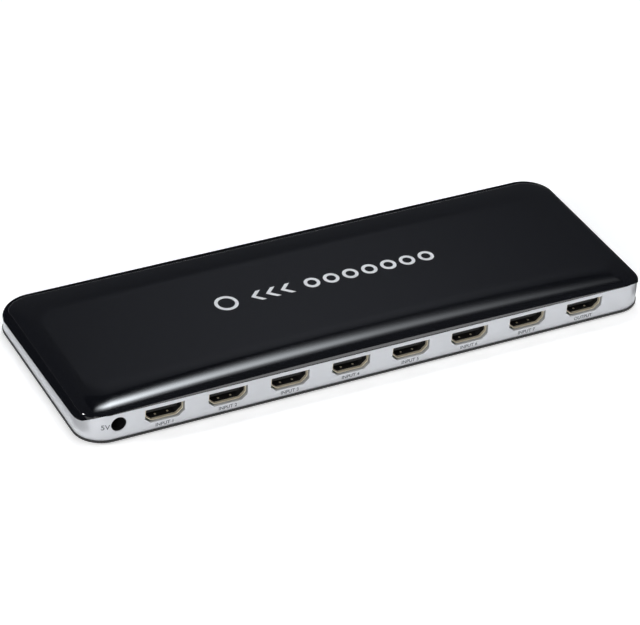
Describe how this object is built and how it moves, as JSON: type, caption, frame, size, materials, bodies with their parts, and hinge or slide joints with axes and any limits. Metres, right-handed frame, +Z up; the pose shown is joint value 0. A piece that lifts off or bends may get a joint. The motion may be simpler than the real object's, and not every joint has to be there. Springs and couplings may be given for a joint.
{
  "type": "video switch box",
  "caption": "Flat desktop video switch box: gloss pillow-shaped cover, satin frame with a row of video sockets and a round power inlet, select button and indicator lights on the front.",
  "frame": {"origin": "on the ground, below the middle of the case", "axes": "+X along the row of sockets, -Y out of the sockets, +Z up"},
  "size_m": [0.2306, 0.0864, 0.0159],
  "materials": {
    "gloss_black_abs": "gloss black moulded ABS",
    "satin_aluminium": "satin silver, bright cut edges",
    "black_abs": "fine-textured black moulded ABS",
    "foot_rubber": "matt black rubber",
    "screw_steel": "zinc-plated steel",
    "board_laminate": "green solder mask on glass laminate",
    "socket_plating": "plated, pale gold",
    "socket_resin": "black glass-filled nylon",
    "contact_gold": "gold flash",
    "chip_epoxy": "black moulded epoxy",
    "plated_steel": "bright plated",
    "ferrite": "dark ferrite",
    "can_aluminium": "bare aluminium can",
    "chip_ceramic": "tan ceramic",
    "clear_resin": "clear moulded acrylic",
    "filter_resin": "dark red infrared filter",
    "plunger_resin": "pale nylon"
  },
  "bodies": {
    "case": {"bottom_cover": "black_abs", "side_frame": "satin_aluminium", "top_cover": "gloss_black_abs", "rubber_feet": "foot_rubber", "case_screws": "screw_steel", "circuit_board": "board_laminate", "board_screws": "screw_steel", "port_shell_1": "socket_plating", "port_shell_2": "socket_plating", "port_shell_3": "socket_plating", "port_shell_4": "socket_plating", "port_shell_5": "socket_plating", "port_shell_6": "socket_plating", "port_shell_7": "socket_plating", "port_shell_8": "socket_plating", "port_insulator_1": "socket_resin", "port_insulator_2": "socket_resin", "port_insulator_3": "socket_resin", "port_insulator_4": "socket_resin", "port_insulator_5": "socket_resin", "port_insulator_6": "socket_resin", "port_insulator_7": "socket_resin", "port_insulator_8": "socket_resin", "port_contacts_1": "contact_gold", "port_contacts_2": "contact_gold", "port_contacts_3": "contact_gold", "port_contacts_4": "contact_gold", "port_contacts_5": "contact_gold", "port_contacts_6": "contact_gold", "port_contacts_7": "contact_gold", "port_contacts_8": "contact_gold", "inlet_housing": "socket_resin", "inlet_pin": "plated_steel", "inlet_spring": "socket_plating", "switch_chips": "chip_epoxy", "control_chip": "chip_epoxy", "crystal": "plated_steel", "regulator": "chip_epoxy", "power_inductor": "ferrite", "electrolytic_cans": "can_aluminium", "bypass_capacitors": "chip_ceramic", "surge_arrays": "chip_epoxy", "indicator_leds": "clear_resin", "light_pipes": "clear_resin", "remote_receiver": "chip_epoxy", "receiver_window": "filter_resin", "tact_switch": "socket_resin"},
    "select_button": {"select_button": "gloss_black_abs"},
    "tact_plunger": {"tact_plunger": "plunger_resin"}
  },
  "joints": [
    {"name": "select_button_press", "type": "slide", "parent": "case", "child": "select_button", "axis": [0, -1, 0], "range_m": [0, 0.0003], "stiffness_N_per_m": 800},
    {"name": "tact_plunger_press", "type": "slide", "parent": "case", "child": "tact_plunger", "axis": [0, -1, 0], "range_m": [0, 0.0003]}
  ],
  "couplings": [
    {"joint": "tact_plunger_press", "follows": "select_button_press", "ratio": 1}
  ]
}
